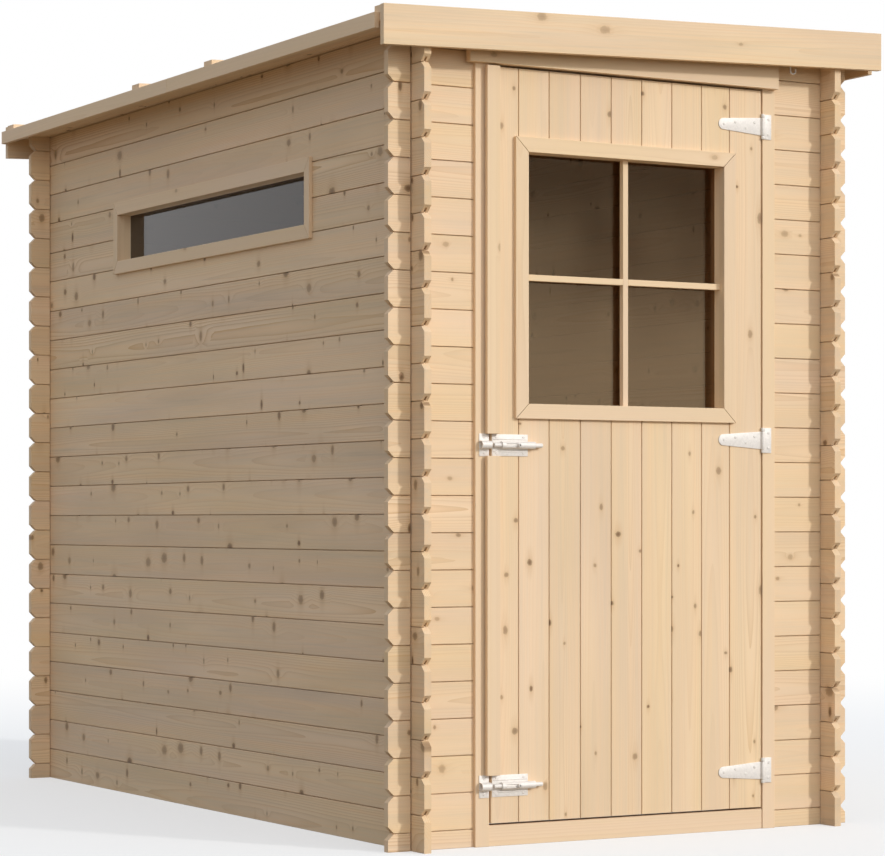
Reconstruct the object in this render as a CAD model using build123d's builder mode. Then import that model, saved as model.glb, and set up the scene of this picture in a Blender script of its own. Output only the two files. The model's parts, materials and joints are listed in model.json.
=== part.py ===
"""Wooden garden shed: interlocking board walls, a low single-slope roof, a glazed plank door on
T-hinges with two barrel bolts, and a long narrow window in the left wall.

Millimetres. The origin is on the ground at the middle of the footprint. The door faces -Y, +X is to
the right of someone looking at the door, and the roof rises towards +X.
"""
import os

from build123d import *

# Walls: boards laid on edge, side walls a half board out of step with the front and back
course = 88.0
side_courses = 22
wall_thickness = 19.0
shed_width = 1217.0
shed_depth = 2245.0
log_end_reach = 62.0
log_end_chamfer = 16.0
roof_rise = 44.0

# Roof: two board panels with battens on top, boards along all four edges
roof_board_thickness = 19.0
roof_side_overhang = 106.0
panel_joint = 0.5
batten_width = 48.0
batten_thickness = 20.0
batten_from_joint = 231.5
fascia_height = 94.5
fascia_thickness = 17.0
fascia_drop = 58.0
fascia_lap = 11.0
edge_board_thickness = 13.0
eave_trim_height = 37.0
eave_trim_setback = 24.0
eave_trim_drop = 6.0
butt_joint = 1.0

# Doorway: posts that take the ends of the wall boards, a header in front of them, a threshold
post_width = 38.0
post_proud = 10.0
post_depth = 39.0
doorway_width = 803.0
header_bottom = 1863.0
header_height = 70.0
header_thickness = 19.0
header_lap = 12.0
header_shift = -13.0
threshold_height = 50.0
threshold_setback = 3.0

# Door leaf: nine upright boards, ledges and a brace inside
door_gap = 5.0
leaf_thickness = 19.0
leaf_board_count = 9
leaf_board_shift = -10.0
ledge_width = 88.0
ledge_thickness = 19.0
ledge_inset = 25.0
brace_width = 70.0
cover_strip_width = 36.0
cover_strip_thickness = 16.0
cover_strip_overlap = 14.0
cover_strip_relief = 5.0
cover_strip_bolt_gap = 6.0

# Windows: a lining in the cut, mitred trim outside, one pane each
lining_thickness = 22.0
lining_depth = 48.0
trim_width = 36.0
trim_thickness = 10.0
mitre_gap = 0.6
lining_joint = 0.5
glass_thickness = 4.0
glass_setback = 32.0
glass_clearance = 0.3
door_window_drop = 199.0
door_window_height = 603.0
side_window_width = 1168.0
side_window_shift = -6.5
side_upright_trim_width = 28.0
side_window_base_courses = 17
side_window_courses = 2

# T-hinges: a plate on the right post, a tapered strap on the leaf, a round knuckle between
lower_hinge_height = 147.0
upper_hinge_top_distance = 90.0
hinge_below_window = 12.0
hinge_steel = 2.5
knuckle_radius = 4.5
pin_radius = 2.2
pin_clearance = 0.05
hinge_plate_width = 28.0
hinge_plate_height = 63.0
strap_length = 134.0
strap_root_height = 45.0
strap_tip_height = 26.0
knuckle_gap = 0.75

# Barrel bolts: a housing on the leaf, a sliding rod with a knob, a keeper on the left post
lower_bolt_height = 143.5
bolt_below_trim = 64.0
bolt_plate_length = 100.0
bolt_plate_height = 52.0
bolt_plate_inset = 2.0
bolt_steel = 2.0
bolt_barrel_radius = 9.0
bolt_barrel_length = 94.0
bolt_rod_radius = 5.5
bolt_rod_length = 136.0
bolt_rod_clearance = 0.3
bolt_throw = 30.0
knob_radius = 3.0
knob_reach = 15.0
knob_place_share = 2 / 3
knob_slot_clearance = 1.0
keeper_width = 27.0
keeper_height = 54.0
keeper_inset = 1.5
keeper_loop_radius = 10.0

# A wire hook under the roof boards, in the front overhang
hook_from_corner = 135.5
hook_stem_length = 62.0
hook_wire_radius = 2.0
hook_bend_radius = 8.0
hook_tip_length = 5.0

# Places worked out from the sizes above
half_width = shed_width / 2
half_depth = shed_depth / 2
inner_half_width = half_width - wall_thickness
inner_half_depth = half_depth - wall_thickness
side_wall_height = side_courses * course
roof_slope = roof_rise / shed_width
roof_half_width = half_width + roof_side_overhang
roof_half_depth = half_depth + log_end_reach
post_inner_x = doorway_width / 2
post_outer_x = post_inner_x + post_width
post_face_y = -half_depth - post_proud
leaf_half_width = post_inner_x - door_gap
leaf_bottom = threshold_height + door_gap
leaf_top = header_bottom - door_gap
leaf_face_y = post_face_y
leaf_back_y = leaf_face_y + leaf_thickness
leaf_board_width = leaf_half_width * 2 / leaf_board_count
door_cut_half_width = leaf_half_width - leaf_board_width
door_cut_left = leaf_board_shift - door_cut_half_width
door_cut_right = leaf_board_shift + door_cut_half_width
door_window_width = (door_cut_half_width - lining_thickness) * 2
door_window_bottom = leaf_top - door_window_drop - door_window_height
door_window_middle = door_window_bottom + door_window_height / 2
door_cut_bottom = door_window_bottom - lining_thickness
door_cut_top = door_window_bottom + door_window_height + lining_thickness
side_cut_bottom = side_window_base_courses * course
side_cut_height = side_window_courses * course
side_cut_half_width = side_window_width / 2 + lining_thickness
side_cut_front = side_window_shift - side_cut_half_width
side_cut_rear = side_window_shift + side_cut_half_width
side_window_height = side_cut_height - lining_thickness * 2
hinge_heights = (
    lower_hinge_height,
    door_cut_bottom - hinge_below_window - ledge_width / 2,
    leaf_top - upper_hinge_top_distance,
)
bolt_heights = (lower_bolt_height, door_window_bottom - trim_width - bolt_below_trim)
hinge_x = post_inner_x - door_gap / 2
hinge_y = post_face_y - knuckle_radius
bolt_axis_y = leaf_face_y - bolt_barrel_radius
bolt_plate_left = -leaf_half_width + bolt_plate_inset

# Window planes: origin in the middle of the opening, local x along the wall, normal pointing out
door_window_plane = Plane((leaf_board_shift, leaf_face_y, door_window_middle), (1, 0, 0), (0, -1, 0))
side_window_plane = Plane(
    (-half_width, side_window_shift, side_cut_bottom + side_cut_height / 2), (0, -1, 0), (-1, 0, 0)
)

os.makedirs("parts", exist_ok=True)


def save(piece, node):
    """Label a finished piece with its node's name and write it."""
    piece.part.label = node
    export_step(piece.part, f"parts/{node}.step")


def roof_underside(x):
    """Height of the roof boards' lower face at a distance from the middle."""
    return side_wall_height + (x + half_width) * roof_slope


def box_between(low, high):
    """A box from its low corner to its high corner."""
    middle = [(a + b) / 2 for a, b in zip(low, high)]
    with Locations(tuple(middle)):
        Box(high[0] - low[0], high[1] - low[1], high[2] - low[2])


def prism_along_y(points, y_front, y_back):
    """An outline of (x, z) points carried from the front to the back."""
    with BuildSketch(Plane.XZ.offset(-y_back)) as outline:
        with BuildLine():
            Polyline(*points, close=True)
        make_face()
    extrude(outline.sketch, amount=y_back - y_front)


def wall_to_roof(x_left, x_right, y_front, y_back, bottom):
    """A stretch of wall whose top is cut to the slope of the roof."""
    outline = [
        (x_left, bottom),
        (x_right, bottom),
        (x_right, roof_underside(x_right)),
        (x_left, roof_underside(x_left)),
    ]
    prism_along_y(outline, y_front, y_back)


def sloped_board(x_left, x_right, y_front, y_back, low, high):
    """A board that follows the roof, between two heights above the roof boards' lower face."""
    outline = [
        (x_left, roof_underside(x_left) + low),
        (x_right, roof_underside(x_right) + low),
        (x_right, roof_underside(x_right) + high),
        (x_left, roof_underside(x_left) + high),
    ]
    prism_along_y(outline, y_front, y_back)


def log_end_points(root, tip, first_joint, root_top, tip_top):
    """Outline of a stack of board ends, from the wall's face out to the chamfered tips."""
    inward = log_end_chamfer if tip < root else -log_end_chamfer
    points = [(root, 0), (tip, 0)]
    joint = first_joint
    while joint + log_end_chamfer < tip_top:
        points.append((tip, joint - log_end_chamfer))
        points.append((tip + inward, joint))
        points.append((tip, joint + log_end_chamfer))
        joint += course
    return points + [(tip, tip_top), (root, root_top)]


def window_trim(plane, width, height, upright_width):
    """Four mitred trim boards on the face of a wall, around an opening."""
    half_w, half_h = width / 2, height / 2
    for side in (-1, 1):
        with BuildSketch(plane) as level_board:
            with BuildLine():
                Polyline(
                    (-half_w + mitre_gap, side * half_h),
                    (half_w - mitre_gap, side * half_h),
                    (half_w + upright_width - mitre_gap, side * (half_h + trim_width)),
                    (-half_w - upright_width + mitre_gap, side * (half_h + trim_width)),
                    close=True,
                )
            make_face()
        extrude(level_board.sketch, amount=trim_thickness)
        with BuildSketch(plane) as upright_board:
            with BuildLine():
                Polyline(
                    (side * half_w, -half_h),
                    (side * half_w, half_h),
                    (side * (half_w + upright_width), half_h + trim_width),
                    (side * (half_w + upright_width), -half_h - trim_width),
                    close=True,
                )
            make_face()
        extrude(upright_board.sketch, amount=trim_thickness)


def window_lining(plane, width, height):
    """Four boards lining the cut: the level ones run through, the upright ones stand between."""
    for side in (-1, 1):
        with BuildSketch(plane) as boards:
            with Locations((0, side * (height + lining_thickness) / 2)):
                Rectangle(width + lining_thickness * 2, lining_thickness)
            with Locations((side * (width + lining_thickness) / 2, 0)):
                Rectangle(lining_thickness, height - lining_joint * 2)
        extrude(boards.sketch, amount=-lining_depth)


def window_pane(plane, width, height):
    """The glass, set back in its lining."""
    with BuildSketch(plane.offset(-glass_setback)) as pane:
        Rectangle(width - glass_clearance * 2, height - glass_clearance * 2)
    extrude(pane.sketch, amount=-glass_thickness)


# Side walls
side_cut_top = side_cut_bottom + side_cut_height
with BuildPart() as left_wall_lower:
    box_between((-half_width, -half_depth, 0), (-inner_half_width, half_depth, side_cut_bottom))
save(left_wall_lower, "left_wall_lower")

with BuildPart() as left_wall_front:
    box_between(
        (-half_width, -half_depth, side_cut_bottom),
        (-inner_half_width, side_cut_front, side_cut_top),
    )
save(left_wall_front, "left_wall_front")

with BuildPart() as left_wall_rear:
    box_between(
        (-half_width, side_cut_rear, side_cut_bottom),
        (-inner_half_width, half_depth, side_cut_top),
    )
save(left_wall_rear, "left_wall_rear")

with BuildPart() as left_wall_upper:
    wall_to_roof(-half_width, -inner_half_width, -half_depth, half_depth, side_cut_top)
save(left_wall_upper, "left_wall_upper")

with BuildPart() as right_wall:
    wall_to_roof(inner_half_width, half_width, -half_depth, half_depth, 0)
save(right_wall, "right_wall")

# Back and front walls, fitted between the side walls
with BuildPart() as back_wall:
    wall_to_roof(-inner_half_width, inner_half_width, inner_half_depth, half_depth, 0)
save(back_wall, "back_wall")

with BuildPart() as front_wall_left:
    wall_to_roof(-inner_half_width, -post_outer_x, -half_depth, -inner_half_depth, 0)
save(front_wall_left, "front_wall_left")

with BuildPart() as front_wall_right:
    wall_to_roof(post_outer_x, inner_half_width, -half_depth, -inner_half_depth, 0)
save(front_wall_right, "front_wall_right")

with BuildPart() as front_wall_over_door:
    wall_to_roof(-post_inner_x, post_inner_x, -half_depth, -inner_half_depth, header_bottom)
save(front_wall_over_door, "front_wall_over_door")

# Board ends past the corners
for side, node in ((-1, "left_wall_log_ends"), (1, "right_wall_log_ends")):
    face_x = side * half_width
    top = min(roof_underside(face_x), roof_underside(side * inner_half_width))
    with BuildPart() as side_log_ends:
        for end in (-1, 1):
            outline = log_end_points(end * half_depth, end * roof_half_depth, course, top, top)
            with BuildSketch(Plane.YZ.offset(face_x)):
                with BuildLine():
                    Polyline(*outline, close=True)
                make_face()
            extrude(amount=-side * wall_thickness)
    save(side_log_ends, node)

for side, node in ((-1, "front_wall_log_ends"), (1, "back_wall_log_ends")):
    wall_faces = sorted((side * inner_half_depth, side * half_depth))
    with BuildPart() as end_log_ends:
        for end in (-1, 1):
            root = end * half_width
            tip = end * (half_width + log_end_reach)
            outline = log_end_points(
                root, tip, course / 2, roof_underside(root), roof_underside(tip)
            )
            prism_along_y(outline, *wall_faces)
    save(end_log_ends, node)

# Roof panels, battens and the boards along the edges
with BuildPart() as roof_panel_front:
    sloped_board(
        -roof_half_width, roof_half_width, -roof_half_depth, -panel_joint / 2, 0, roof_board_thickness
    )
save(roof_panel_front, "roof_panel_front")

with BuildPart() as roof_panel_rear:
    sloped_board(
        -roof_half_width, roof_half_width, panel_joint / 2, roof_half_depth, 0, roof_board_thickness
    )
save(roof_panel_rear, "roof_panel_rear")

end_batten = roof_half_depth - batten_width / 2
with BuildPart() as roof_battens:
    for middle in (-end_batten, -batten_from_joint, batten_from_joint, end_batten):
        sloped_board(
            -roof_half_width,
            roof_half_width,
            middle - batten_width / 2,
            middle + batten_width / 2,
            roof_board_thickness,
            roof_board_thickness + batten_thickness,
        )
save(roof_battens, "roof_battens")

fascia_half_length = roof_half_width + fascia_lap
fascia_faces = (roof_half_depth, roof_half_depth + fascia_thickness)
with BuildPart() as front_fascia:
    sloped_board(
        -fascia_half_length,
        fascia_half_length,
        -fascia_faces[1],
        -fascia_faces[0],
        -fascia_drop,
        fascia_height - fascia_drop,
    )
save(front_fascia, "front_fascia")

with BuildPart() as back_fascia:
    sloped_board(
        -roof_half_width, fascia_half_length, *fascia_faces, -fascia_drop, fascia_height - fascia_drop
    )
save(back_fascia, "back_fascia")

edge_board_end = roof_half_depth - eave_trim_setback
eave_trim_middle = roof_underside(-roof_half_width) + roof_board_thickness / 2 - eave_trim_drop
eave_trim_bottom = eave_trim_middle - eave_trim_height / 2
eave_trim_top = eave_trim_middle + eave_trim_height / 2
with BuildPart() as left_eave_trim:
    for y_low, y_high in ((-edge_board_end, -butt_joint / 2), (butt_joint / 2, fascia_faces[1])):
        box_between(
            (-roof_half_width - edge_board_thickness, y_low, eave_trim_bottom),
            (-roof_half_width, y_high, eave_trim_top),
        )
save(left_eave_trim, "left_eave_trim")

right_fascia_bottom = roof_underside(roof_half_width) - fascia_drop
with BuildPart() as right_fascia:
    for y_low, y_high in ((-edge_board_end, -butt_joint / 2), (butt_joint / 2, edge_board_end)):
        box_between(
            (roof_half_width, y_low, right_fascia_bottom),
            (roof_half_width + edge_board_thickness, y_high, right_fascia_bottom + fascia_height),
        )
save(right_fascia, "right_fascia")

# Doorway
post_back_y = post_face_y + post_depth
with BuildPart() as door_post_left:
    wall_to_roof(-post_outer_x, -post_inner_x, post_face_y, post_back_y, 0)
save(door_post_left, "door_post_left")

with BuildPart() as door_post_right:
    wall_to_roof(post_inner_x, post_outer_x, post_face_y, post_back_y, 0)
save(door_post_right, "door_post_right")

header_half_length = post_outer_x + header_lap
with BuildPart() as door_header:
    box_between(
        (header_shift - header_half_length, post_face_y - header_thickness, header_bottom),
        (header_shift + header_half_length, post_face_y, header_bottom + header_height),
    )
save(door_header, "door_header")

with BuildPart() as door_threshold:
    box_between(
        (-post_inner_x, post_face_y + threshold_setback, 0),
        (post_inner_x, post_back_y, threshold_height),
    )
save(door_threshold, "door_threshold")

# Window in the left wall
with BuildPart() as side_window_trim:
    window_trim(side_window_plane, side_window_width, side_window_height, side_upright_trim_width)
save(side_window_trim, "side_window_trim")

with BuildPart() as side_window_frame:
    window_lining(side_window_plane, side_window_width, side_window_height)
save(side_window_frame, "side_window_frame")

with BuildPart() as side_window_glass:
    window_pane(side_window_plane, side_window_width, side_window_height)
save(side_window_glass, "side_window_glass")

# Door leaf: the outer boards run the full height, the others stop at the window
with BuildPart() as door_left_board:
    box_between(
        (-leaf_half_width, leaf_face_y, leaf_bottom), (door_cut_left, leaf_back_y, leaf_top)
    )
save(door_left_board, "door_left_board")

with BuildPart() as door_right_board:
    box_between(
        (door_cut_right, leaf_face_y, leaf_bottom), (leaf_half_width, leaf_back_y, leaf_top)
    )
save(door_right_board, "door_right_board")

with BuildPart() as door_upper_boards:
    box_between(
        (door_cut_left, leaf_face_y, door_cut_top), (door_cut_right, leaf_back_y, leaf_top)
    )
save(door_upper_boards, "door_upper_boards")

with BuildPart() as door_lower_boards:
    box_between(
        (door_cut_left, leaf_face_y, leaf_bottom),
        (door_cut_right, leaf_back_y, door_cut_bottom),
    )
save(door_lower_boards, "door_lower_boards")

ledge_half_length = leaf_half_width - ledge_inset
ledge_back_y = leaf_back_y + ledge_thickness
with BuildPart() as door_ledges:
    for height in hinge_heights:
        box_between(
            (-ledge_half_length, leaf_back_y, height - ledge_width / 2),
            (ledge_half_length, ledge_back_y, height + ledge_width / 2),
        )
save(door_ledges, "door_ledges")

brace_bottom = hinge_heights[0] + ledge_width / 2
brace_top = hinge_heights[1] - ledge_width / 2
with BuildPart() as door_brace:
    prism_along_y(
        [
            (ledge_half_length - brace_width, brace_bottom),
            (ledge_half_length, brace_bottom),
            (-ledge_half_length + brace_width, brace_top),
            (-ledge_half_length, brace_top),
        ],
        leaf_back_y,
        ledge_back_y,
    )
save(door_brace, "door_brace")

# Cover strip over the closing gap, left open beside the upper bolt and ending above the lower one
bolt_clear = bolt_plate_height / 2 + cover_strip_bolt_gap
strip_left = -post_inner_x - cover_strip_overlap
strip_front_y = leaf_face_y - cover_strip_thickness
strip_lengths = (
    (bolt_heights[0] + bolt_clear, bolt_heights[1] - bolt_clear),
    (bolt_heights[1] + bolt_clear, leaf_top),
)
with BuildPart() as door_cover_strips:
    for low, high in strip_lengths:
        box_between(
            (strip_left, strip_front_y, low), (strip_left + cover_strip_width, leaf_face_y, high)
        )
    for low, high in strip_lengths:
        with BuildSketch(Plane.XY.offset(low)):
            with Locations((strip_left, leaf_face_y)):
                Rectangle(
                    -leaf_half_width - strip_left, cover_strip_relief, align=(Align.MIN, Align.MAX)
                )
        extrude(amount=high - low, mode=Mode.SUBTRACT)
save(door_cover_strips, "door_cover_strips")

# Window in the door
with BuildPart() as door_window_trim:
    window_trim(door_window_plane, door_window_width, door_window_height, trim_width)
save(door_window_trim, "door_window_trim")

with BuildPart() as door_window_frame:
    window_lining(door_window_plane, door_window_width, door_window_height)
save(door_window_frame, "door_window_frame")

with BuildPart() as door_window_glass:
    window_pane(door_window_plane, door_window_width, door_window_height)
save(door_window_glass, "door_window_glass")

# Hinge plates with the pin and the two end knuckles, one for each hinge
end_knuckle = (hinge_plate_height - strap_root_height) / 2 - knuckle_gap
plate_left = hinge_x + knuckle_radius + knuckle_gap
plate_right = hinge_x + hinge_plate_width
plate_front_y = post_face_y - hinge_steel
with BuildPart() as hinge_plates:
    for height in hinge_heights:
        low = height - hinge_plate_height / 2
        high = height + hinge_plate_height / 2
        box_between((plate_left, plate_front_y, low), (plate_right, post_face_y, high))
        for tab_low in (low, high - end_knuckle):
            box_between((hinge_x, plate_front_y, tab_low), (plate_left, post_face_y, tab_low + end_knuckle))
            with BuildSketch(Plane.XY.offset(tab_low)):
                with Locations((hinge_x, hinge_y)):
                    Circle(knuckle_radius)
            extrude(amount=end_knuckle)
        with BuildSketch(Plane.XY.offset(low)):
            with Locations((hinge_x, hinge_y)):
                Circle(pin_radius)
        extrude(amount=hinge_plate_height)
save(hinge_plates, "hinge_plates")

# Tapered straps with the middle knuckle, round at the tip
strap_tip_radius = strap_tip_height / 2
strap_tip_x = hinge_x - strap_length + strap_tip_radius
strap_plane = Plane((0, leaf_face_y, 0), (1, 0, 0), (0, -1, 0))
with BuildPart() as hinge_straps:
    for height in hinge_heights:
        low = height - strap_root_height / 2
        with BuildSketch(strap_plane):
            with BuildLine():
                Polyline(
                    (strap_tip_x, height + strap_tip_radius),
                    (hinge_x, height + strap_root_height / 2),
                    (hinge_x, low),
                    (strap_tip_x, height - strap_tip_radius),
                )
                ThreePointArc(
                    (strap_tip_x, height - strap_tip_radius),
                    (strap_tip_x - strap_tip_radius, height),
                    (strap_tip_x, height + strap_tip_radius),
                )
            make_face()
        extrude(amount=hinge_steel)
        with BuildSketch(Plane.XY.offset(low)):
            with Locations((hinge_x, hinge_y)):
                Circle(knuckle_radius)
        extrude(amount=strap_root_height)
        with BuildSketch(Plane.XY.offset(low)):
            with Locations((hinge_x, hinge_y)):
                Circle(pin_radius + pin_clearance)
        extrude(amount=strap_root_height, mode=Mode.SUBTRACT)
save(hinge_straps, "hinge_straps")

# Bolt housings: a plate and a barrel with a slot in front for the knob
barrel_left = bolt_plate_left + (bolt_plate_length - bolt_barrel_length) / 2
rod_tip_x = bolt_plate_left
knob_x = barrel_left + bolt_barrel_length * knob_place_share
slot_half_width = knob_radius + knob_slot_clearance
with BuildPart() as bolt_plates:
    for height in bolt_heights:
        box_between(
            (bolt_plate_left, leaf_face_y - bolt_steel, height - bolt_plate_height / 2),
            (bolt_plate_left + bolt_plate_length, leaf_face_y, height + bolt_plate_height / 2),
        )
        with BuildSketch(Plane.YZ.offset(barrel_left)):
            with Locations((bolt_axis_y, height)):
                Circle(bolt_barrel_radius)
        extrude(amount=bolt_barrel_length)
        with BuildSketch(Plane.YZ.offset(barrel_left)):
            with Locations((bolt_axis_y, height)):
                Circle(bolt_rod_radius + bolt_rod_clearance)
        extrude(amount=bolt_barrel_length, mode=Mode.SUBTRACT)
        with BuildSketch(Plane.XZ.offset(-bolt_axis_y)):
            with Locations((knob_x - bolt_throw / 2, height)):
                Rectangle(bolt_throw + slot_half_width * 2, slot_half_width * 2)
        extrude(amount=bolt_barrel_radius, mode=Mode.SUBTRACT)
save(bolt_plates, "bolt_plates")

# Sliding rods, drawn back clear of the keepers
for height, node in zip(bolt_heights, ("bolt_rod_lower", "bolt_rod_upper")):
    with BuildPart() as bolt_rod:
        with BuildSketch(Plane.YZ.offset(rod_tip_x)):
            with Locations((bolt_axis_y, height)):
                Circle(bolt_rod_radius)
        extrude(amount=bolt_rod_length)
        with BuildSketch(Plane.XZ.offset(-bolt_axis_y)):
            with Locations((knob_x, height)):
                Circle(knob_radius)
        extrude(amount=knob_reach)
    save(bolt_rod, node)

# Keepers: a plate with a strap bent over the place where the rod slides in
keeper_right = -post_inner_x - keeper_inset
keeper_bore_radius = keeper_loop_radius - bolt_steel
keeper_leg = post_face_y - bolt_axis_y
with BuildPart() as bolt_keepers:
    for height in bolt_heights:
        with BuildSketch(Plane.YZ.offset(keeper_right)):
            for radius, mode in ((keeper_loop_radius, Mode.ADD), (keeper_bore_radius, Mode.SUBTRACT)):
                with Locations((bolt_axis_y, height)):
                    Circle(radius, mode=mode)
                with Locations((post_face_y, height)):
                    Rectangle(keeper_leg, radius * 2, align=(Align.MAX, Align.CENTER), mode=mode)
        extrude(amount=-keeper_width)
        with BuildSketch(Plane.XY.offset(height - keeper_height / 2)):
            with Locations((keeper_right, post_face_y)):
                Rectangle(keeper_width, keeper_loop_radius, align=(Align.MAX, Align.MIN))
        extrude(amount=keeper_height, mode=Mode.SUBTRACT)
        box_between(
            (keeper_right - keeper_width, post_face_y - bolt_steel, height - keeper_height / 2),
            (keeper_right, post_face_y, height + keeper_height / 2),
        )
save(bolt_keepers, "bolt_keepers")

# Hook: a straight stem from the roof boards, a half turn and a short tip
hook_x = half_width - hook_from_corner
hook_y = -(half_depth + roof_half_depth) / 2
hook_top = roof_underside(hook_x - hook_wire_radius)
bend_height = hook_top - hook_stem_length
with BuildPart() as eave_hook:
    with BuildLine(Plane((hook_x, hook_y, 0), (1, 0, 0), (0, -1, 0))) as hook_path:
        Line((0, hook_top), (0, bend_height))
        ThreePointArc(
            (0, bend_height),
            (hook_bend_radius, bend_height - hook_bend_radius),
            (hook_bend_radius * 2, bend_height),
        )
        Line((hook_bend_radius * 2, bend_height), (hook_bend_radius * 2, bend_height + hook_tip_length))
    with BuildSketch(Plane((hook_x, hook_y, hook_top), (1, 0, 0), (0, 0, -1))):
        Circle(hook_wire_radius)
    sweep(path=hook_path.wires()[0])
save(eave_hook, "eave_hook")
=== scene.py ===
"""Wooden garden shed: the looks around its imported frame, laid out as a Blender add-on.

Every piece is dressed board by board inside the frame's own boxes. Each board carries its own grain
coordinates, so that rings, streaks and knots run along it and show again on its ends.
"""
import json
import math
import random

import bmesh
import bpy
from bpy.props import FloatProperty, FloatVectorProperty, IntProperty, PointerProperty
from mathutils import Matrix, Vector

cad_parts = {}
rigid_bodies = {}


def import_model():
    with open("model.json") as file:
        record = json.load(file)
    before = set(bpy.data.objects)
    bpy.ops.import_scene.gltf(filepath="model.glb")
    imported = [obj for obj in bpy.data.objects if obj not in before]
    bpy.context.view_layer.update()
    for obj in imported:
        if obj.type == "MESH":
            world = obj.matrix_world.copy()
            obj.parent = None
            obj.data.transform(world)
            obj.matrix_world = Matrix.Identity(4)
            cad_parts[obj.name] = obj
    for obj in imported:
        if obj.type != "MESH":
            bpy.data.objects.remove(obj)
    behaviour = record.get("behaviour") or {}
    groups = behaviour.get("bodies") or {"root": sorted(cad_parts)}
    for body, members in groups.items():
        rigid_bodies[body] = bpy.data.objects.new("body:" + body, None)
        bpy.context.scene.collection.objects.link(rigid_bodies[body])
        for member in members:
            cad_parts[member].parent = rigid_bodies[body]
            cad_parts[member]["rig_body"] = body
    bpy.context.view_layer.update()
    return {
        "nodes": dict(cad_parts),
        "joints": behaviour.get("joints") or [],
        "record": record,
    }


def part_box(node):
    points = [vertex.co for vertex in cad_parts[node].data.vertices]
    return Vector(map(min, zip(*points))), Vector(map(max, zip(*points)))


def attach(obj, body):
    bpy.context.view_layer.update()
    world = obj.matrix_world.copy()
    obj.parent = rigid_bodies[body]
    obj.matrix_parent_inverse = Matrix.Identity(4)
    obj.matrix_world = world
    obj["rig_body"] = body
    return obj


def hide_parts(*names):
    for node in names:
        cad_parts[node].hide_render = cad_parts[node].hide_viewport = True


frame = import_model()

bl_info = {
    "name": "Garden Shed",
    "version": (1, 0, 0),
    "blender": (4, 5, 0),
    "location": "3D View > Sidebar > Shed",
    "description": "Dresses the frame of a wooden garden shed with boards, glass and fittings",
    "category": "Object",
}

SLOTS = {row["node"]: row["material_slot"] for row in frame["record"]["subparts"]}
AXES = (Vector((1, 0, 0)), Vector((0, 1, 0)), Vector((0, 0, 1)))
WELD = 1e-6
NEAR = 1e-4
ROUND_SHARE = 0.5
KEEP_MATERIAL = -1
CLEAR_ANGLE = math.radians(40)
SMOOTH_ANGLE = math.radians(35)
END_FACING = 0.6

# The slope of the roof's underside, read from the tops of the two side walls
LEFT_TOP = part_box("left_wall_upper")[1]
RIGHT_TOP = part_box("right_wall")[1]
ROOF_SLOPE = (RIGHT_TOP.z - LEFT_TOP.z) / (RIGHT_TOP.x - LEFT_TOP.x)
ROOF_NORMAL = Vector((-ROOF_SLOPE, 0, 1)).normalized()

# Each stretch of wall: the wall that it belongs to and the axis that its boards run along
WALLS = {
    "left_wall_lower": ("left", 1),
    "left_wall_front": ("left", 1),
    "left_wall_rear": ("left", 1),
    "left_wall_upper": ("left", 1),
    "right_wall": ("right", 1),
    "back_wall": ("back", 0),
    "front_wall_left": ("front", 0),
    "front_wall_right": ("front", 0),
    "front_wall_over_door": ("front", 0),
}
LOG_ENDS = {
    "left_wall_log_ends": ("left", 1),
    "right_wall_log_ends": ("right", 1),
    "front_wall_log_ends": ("front", 0),
    "back_wall_log_ends": ("back", 0),
}
SIDE_WALLS = ("left", "right")
WINDOWS = ("side_window", "door_window")


def length(name, about, metres):
    """A property that holds a length."""
    return FloatProperty(name=name, description=about, default=metres, precision=4, unit="LENGTH")


def number(name, about, value):
    """A property that holds a plain number."""
    return FloatProperty(name=name, description=about, default=value, precision=3)


def angle(name, about, degrees):
    """A property that holds an angle."""
    return FloatProperty(name=name, description=about, default=math.radians(degrees), subtype="ANGLE")


def colour(name, about, value):
    """A property that holds a colour."""
    return FloatVectorProperty(
        name=name, description=about, default=value, subtype="COLOR", min=0.0, max=1.0
    )


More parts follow.
